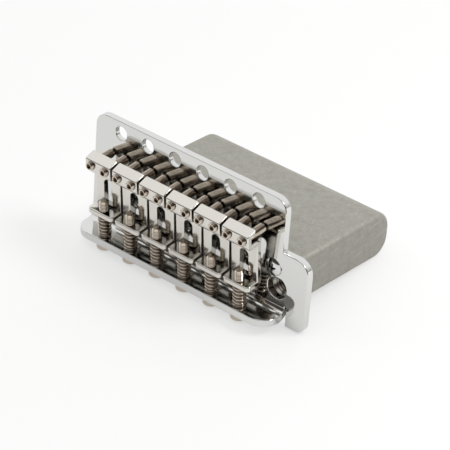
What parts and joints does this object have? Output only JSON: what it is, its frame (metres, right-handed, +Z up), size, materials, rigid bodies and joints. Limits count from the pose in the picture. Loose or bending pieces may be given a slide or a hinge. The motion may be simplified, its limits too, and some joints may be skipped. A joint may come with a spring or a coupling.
{
  "type": "guitar tremolo bridge",
  "caption": "Vintage-pattern guitar tremolo bridge: bent chromed plate with pivot holes, cast block behind it, bent-sheet saddles on sprung intonation screws with grub screws.",
  "frame": {"origin": "middle of the row of pivot holes, on the plate's upper face", "axes": "+X along the row of pivot holes towards the treble side; +Z up as the bridge lies on its side on its screw heads and the block's far edge; -Y is the side the strings and saddles face, and the plate leans back by about nine degrees"},
  "size_m": [0.0844, 0.0572, 0.0405],
  "materials": {
    "plate_chrome": "polished chrome plate",
    "saddle_chrome": "chrome plate, satin on the sloping fronts",
    "cast_zinc": "raw die-cast metal, matt and lightly scuffed",
    "nickel_screw": "nickel-plated steel",
    "spring_wire": "nickel-plated spring wire"
  },
  "bodies": {
    "bridge": {"base_plate": "plate_chrome", "tremolo_block": "cast_zinc", "block_screws": "nickel_screw"},
    "spring_1": {"spring_1": "spring_wire"},
    "intonation_screw_1": {"intonation_screw_1": "nickel_screw"},
    "saddle_1": {"saddle_1": "saddle_chrome"},
    "grub_screw_1_left": {"grub_screw_1_left": "nickel_screw"},
    "grub_screw_1_right": {"grub_screw_1_right": "nickel_screw"},
    "spring_2": {"spring_2": "spring_wire"},
    "intonation_screw_2": {"intonation_screw_2": "nickel_screw"},
    "saddle_2": {"saddle_2": "saddle_chrome"},
    "grub_screw_2_left": {"grub_screw_2_left": "nickel_screw"},
    "grub_screw_2_right": {"grub_screw_2_right": "nickel_screw"},
    "spring_3": {"spring_3": "spring_wire"},
    "intonation_screw_3": {"intonation_screw_3": "nickel_screw"},
    "saddle_3": {"saddle_3": "saddle_chrome"},
    "grub_screw_3_left": {"grub_screw_3_left": "nickel_screw"},
    "grub_screw_3_right": {"grub_screw_3_right": "nickel_screw"},
    "spring_4": {"spring_4": "spring_wire"},
    "intonation_screw_4": {"intonation_screw_4": "nickel_screw"},
    "saddle_4": {"saddle_4": "saddle_chrome"},
    "grub_screw_4_left": {"grub_screw_4_left": "nickel_screw"},
    "grub_screw_4_right": {"grub_screw_4_right": "nickel_screw"},
    "spring_5": {"spring_5": "spring_wire"},
    "intonation_screw_5": {"intonation_screw_5": "nickel_screw"},
    "saddle_5": {"saddle_5": "saddle_chrome"},
    "grub_screw_5_left": {"grub_screw_5_left": "nickel_screw"},
    "grub_screw_5_right": {"grub_screw_5_right": "nickel_screw"},
    "spring_6": {"spring_6": "spring_wire"},
    "intonation_screw_6": {"intonation_screw_6": "nickel_screw"},
    "saddle_6": {"saddle_6": "saddle_chrome"},
    "grub_screw_6_left": {"grub_screw_6_left": "nickel_screw"},
    "grub_screw_6_right": {"grub_screw_6_right": "nickel_screw"}
  },
  "joints": [
    {"name": "height_1", "type": "hinge", "parent": "bridge", "child": "spring_1", "pos_m": [-0.027, -0.01045, -0.03264], "axis": [1, 0, 0], "range_deg": [-2.5, 3]},
    {"name": "turn_1", "type": "hinge", "parent": "spring_1", "child": "intonation_screw_1", "pos_m": [-0.027, -0.01045, -0.03264], "axis": [0, 0.0572, 0.9984], "range_deg": [-1982, 866]},
    {"name": "slide_1", "type": "slide", "parent": "spring_1", "child": "saddle_1", "axis": [0, 0.0572, 0.9984], "range_m": [-0.0012, 0.00275], "deforming": ["spring_1"]},
    {"name": "grub_1_left", "type": "slide", "parent": "saddle_1", "child": "grub_screw_1_left", "axis": [0, -0.9984, 0.0572], "range_m": [-0.00145, 0.0012]},
    {"name": "grub_1_right", "type": "slide", "parent": "saddle_1", "child": "grub_screw_1_right", "axis": [0, -0.9984, 0.0572], "range_m": [-0.00145, 0.0012]},
    {"name": "height_2", "type": "hinge", "parent": "bridge", "child": "spring_2", "pos_m": [-0.0162, -0.01045, -0.03264], "axis": [1, 0, 0], "range_deg": [-2.5, 3]},
    {"name": "turn_2", "type": "hinge", "parent": "spring_2", "child": "intonation_screw_2", "pos_m": [-0.0162, -0.01045, -0.03264], "axis": [0, 0.0572, 0.9984], "range_deg": [-1982, 866]},
    {"name": "slide_2", "type": "slide", "parent": "spring_2", "child": "saddle_2", "axis": [0, 0.0572, 0.9984], "range_m": [-0.0012, 0.00275], "deforming": ["spring_2"]},
    {"name": "grub_2_left", "type": "slide", "parent": "saddle_2", "child": "grub_screw_2_left", "axis": [0, -0.9984, 0.0572], "range_m": [-0.00145, 0.0012]},
    {"name": "grub_2_right", "type": "slide", "parent": "saddle_2", "child": "grub_screw_2_right", "axis": [0, -0.9984, 0.0572], "range_m": [-0.00145, 0.0012]},
    {"name": "height_3", "type": "hinge", "parent": "bridge", "child": "spring_3", "pos_m": [-0.0054, -0.01045, -0.03264], "axis": [1, 0, 0], "range_deg": [-2.5, 3]},
    {"name": "turn_3", "type": "hinge", "parent": "spring_3", "child": "intonation_screw_3", "pos_m": [-0.0054, -0.01045, -0.03264], "axis": [0, 0.0572, 0.9984], "range_deg": [-1982, 866]},
    {"name": "slide_3", "type": "slide", "parent": "spring_3", "child": "saddle_3", "axis": [0, 0.0572, 0.9984], "range_m": [-0.0012, 0.00275], "deforming": ["spring_3"]},
    {"name": "grub_3_left", "type": "slide", "parent": "saddle_3", "child": "grub_screw_3_left", "axis": [0, -0.9984, 0.0572], "range_m": [-0.00145, 0.0012]},
    {"name": "grub_3_right", "type": "slide", "parent": "saddle_3", "child": "grub_screw_3_right", "axis": [0, -0.9984, 0.0572], "range_m": [-0.00145, 0.0012]},
    {"name": "height_4", "type": "hinge", "parent": "bridge", "child": "spring_4", "pos_m": [0.0054, -0.01045, -0.03264], "axis": [1, 0, 0], "range_deg": [-2.5, 3]},
    {"name": "turn_4", "type": "hinge", "parent": "spring_4", "child": "intonation_screw_4", "pos_m": [0.0054, -0.01045, -0.03264], "axis": [0, 0.0572, 0.9984], "range_deg": [-1982, 866]},
    {"name": "slide_4", "type": "slide", "parent": "spring_4", "child": "saddle_4", "axis": [0, 0.0572, 0.9984], "range_m": [-0.0012, 0.00275], "deforming": ["spring_4"]},
    {"name": "grub_4_left", "type": "slide", "parent": "saddle_4", "child": "grub_screw_4_left", "axis": [0, -0.9984, 0.0572], "range_m": [-0.00145, 0.0012]},
    {"name": "grub_4_right", "type": "slide", "parent": "saddle_4", "child": "grub_screw_4_right", "axis": [0, -0.9984, 0.0572], "range_m": [-0.00145, 0.0012]},
    {"name": "height_5", "type": "hinge", "parent": "bridge", "child": "spring_5", "pos_m": [0.0162, -0.01045, -0.03264], "axis": [1, 0, 0], "range_deg": [-2.5, 3]},
    {"name": "turn_5", "type": "hinge", "parent": "spring_5", "child": "intonation_screw_5", "pos_m": [0.0162, -0.01045, -0.03264], "axis": [0, 0.0572, 0.9984], "range_deg": [-1982, 866]},
    {"name": "slide_5", "type": "slide", "parent": "spring_5", "child": "saddle_5", "axis": [0, 0.0572, 0.9984], "range_m": [-0.0012, 0.00275], "deforming": ["spring_5"]},
    {"name": "grub_5_left", "type": "slide", "parent": "saddle_5", "child": "grub_screw_5_left", "axis": [0, -0.9984, 0.0572], "range_m": [-0.00145, 0.0012]},
    {"name": "grub_5_right", "type": "slide", "parent": "saddle_5", "child": "grub_screw_5_right", "axis": [0, -0.9984, 0.0572], "range_m": [-0.00145, 0.0012]},
    {"name": "height_6", "type": "hinge", "parent": "bridge", "child": "spring_6", "pos_m": [0.027, -0.01045, -0.03264], "axis": [1, 0, 0], "range_deg": [-2.5, 3]},
    {"name": "turn_6", "type": "hinge", "parent": "spring_6", "child": "intonation_screw_6", "pos_m": [0.027, -0.01045, -0.03264], "axis": [0, 0.0572, 0.9984], "range_deg": [-1982, 866]},
    {"name": "slide_6", "type": "slide", "parent": "spring_6", "child": "saddle_6", "axis": [0, 0.0572, 0.9984], "range_m": [-0.0012, 0.00275], "deforming": ["spring_6"]},
    {"name": "grub_6_left", "type": "slide", "parent": "saddle_6", "child": "grub_screw_6_left", "axis": [0, -0.9984, 0.0572], "range_m": [-0.00145, 0.0012]},
    {"name": "grub_6_right", "type": "slide", "parent": "saddle_6", "child": "grub_screw_6_right", "axis": [0, -0.9984, 0.0572], "range_m": [-0.00145, 0.0012]}
  ],
  "couplings": [
    {"joint": "turn_1", "follows": "slide_1", "rad_per_m": -12566},
    {"joint": "grub_1_left", "follows": "height_1", "m_per_rad": -0.026684},
    {"joint": "grub_1_right", "follows": "height_1", "m_per_rad": -0.026684},
    {"joint": "turn_2", "follows": "slide_2", "rad_per_m": -12566},
    {"joint": "grub_2_left", "follows": "height_2", "m_per_rad": -0.026684},
    {"joint": "grub_2_right", "follows": "height_2", "m_per_rad": -0.026684},
    {"joint": "turn_3", "follows": "slide_3", "rad_per_m": -12566},
    {"joint": "grub_3_left", "follows": "height_3", "m_per_rad": -0.026684},
    {"joint": "grub_3_right", "follows": "height_3", "m_per_rad": -0.026684},
    {"joint": "turn_4", "follows": "slide_4", "rad_per_m": -12566},
    {"joint": "grub_4_left", "follows": "height_4", "m_per_rad": -0.026684},
    {"joint": "grub_4_right", "follows": "height_4", "m_per_rad": -0.026684},
    {"joint": "turn_5", "follows": "slide_5", "rad_per_m": -12566},
    {"joint": "grub_5_left", "follows": "height_5", "m_per_rad": -0.026684},
    {"joint": "grub_5_right", "follows": "height_5", "m_per_rad": -0.026684},
    {"joint": "turn_6", "follows": "slide_6", "rad_per_m": -12566},
    {"joint": "grub_6_left", "follows": "height_6", "m_per_rad": -0.026684},
    {"joint": "grub_6_right", "follows": "height_6", "m_per_rad": -0.026684}
  ]
}
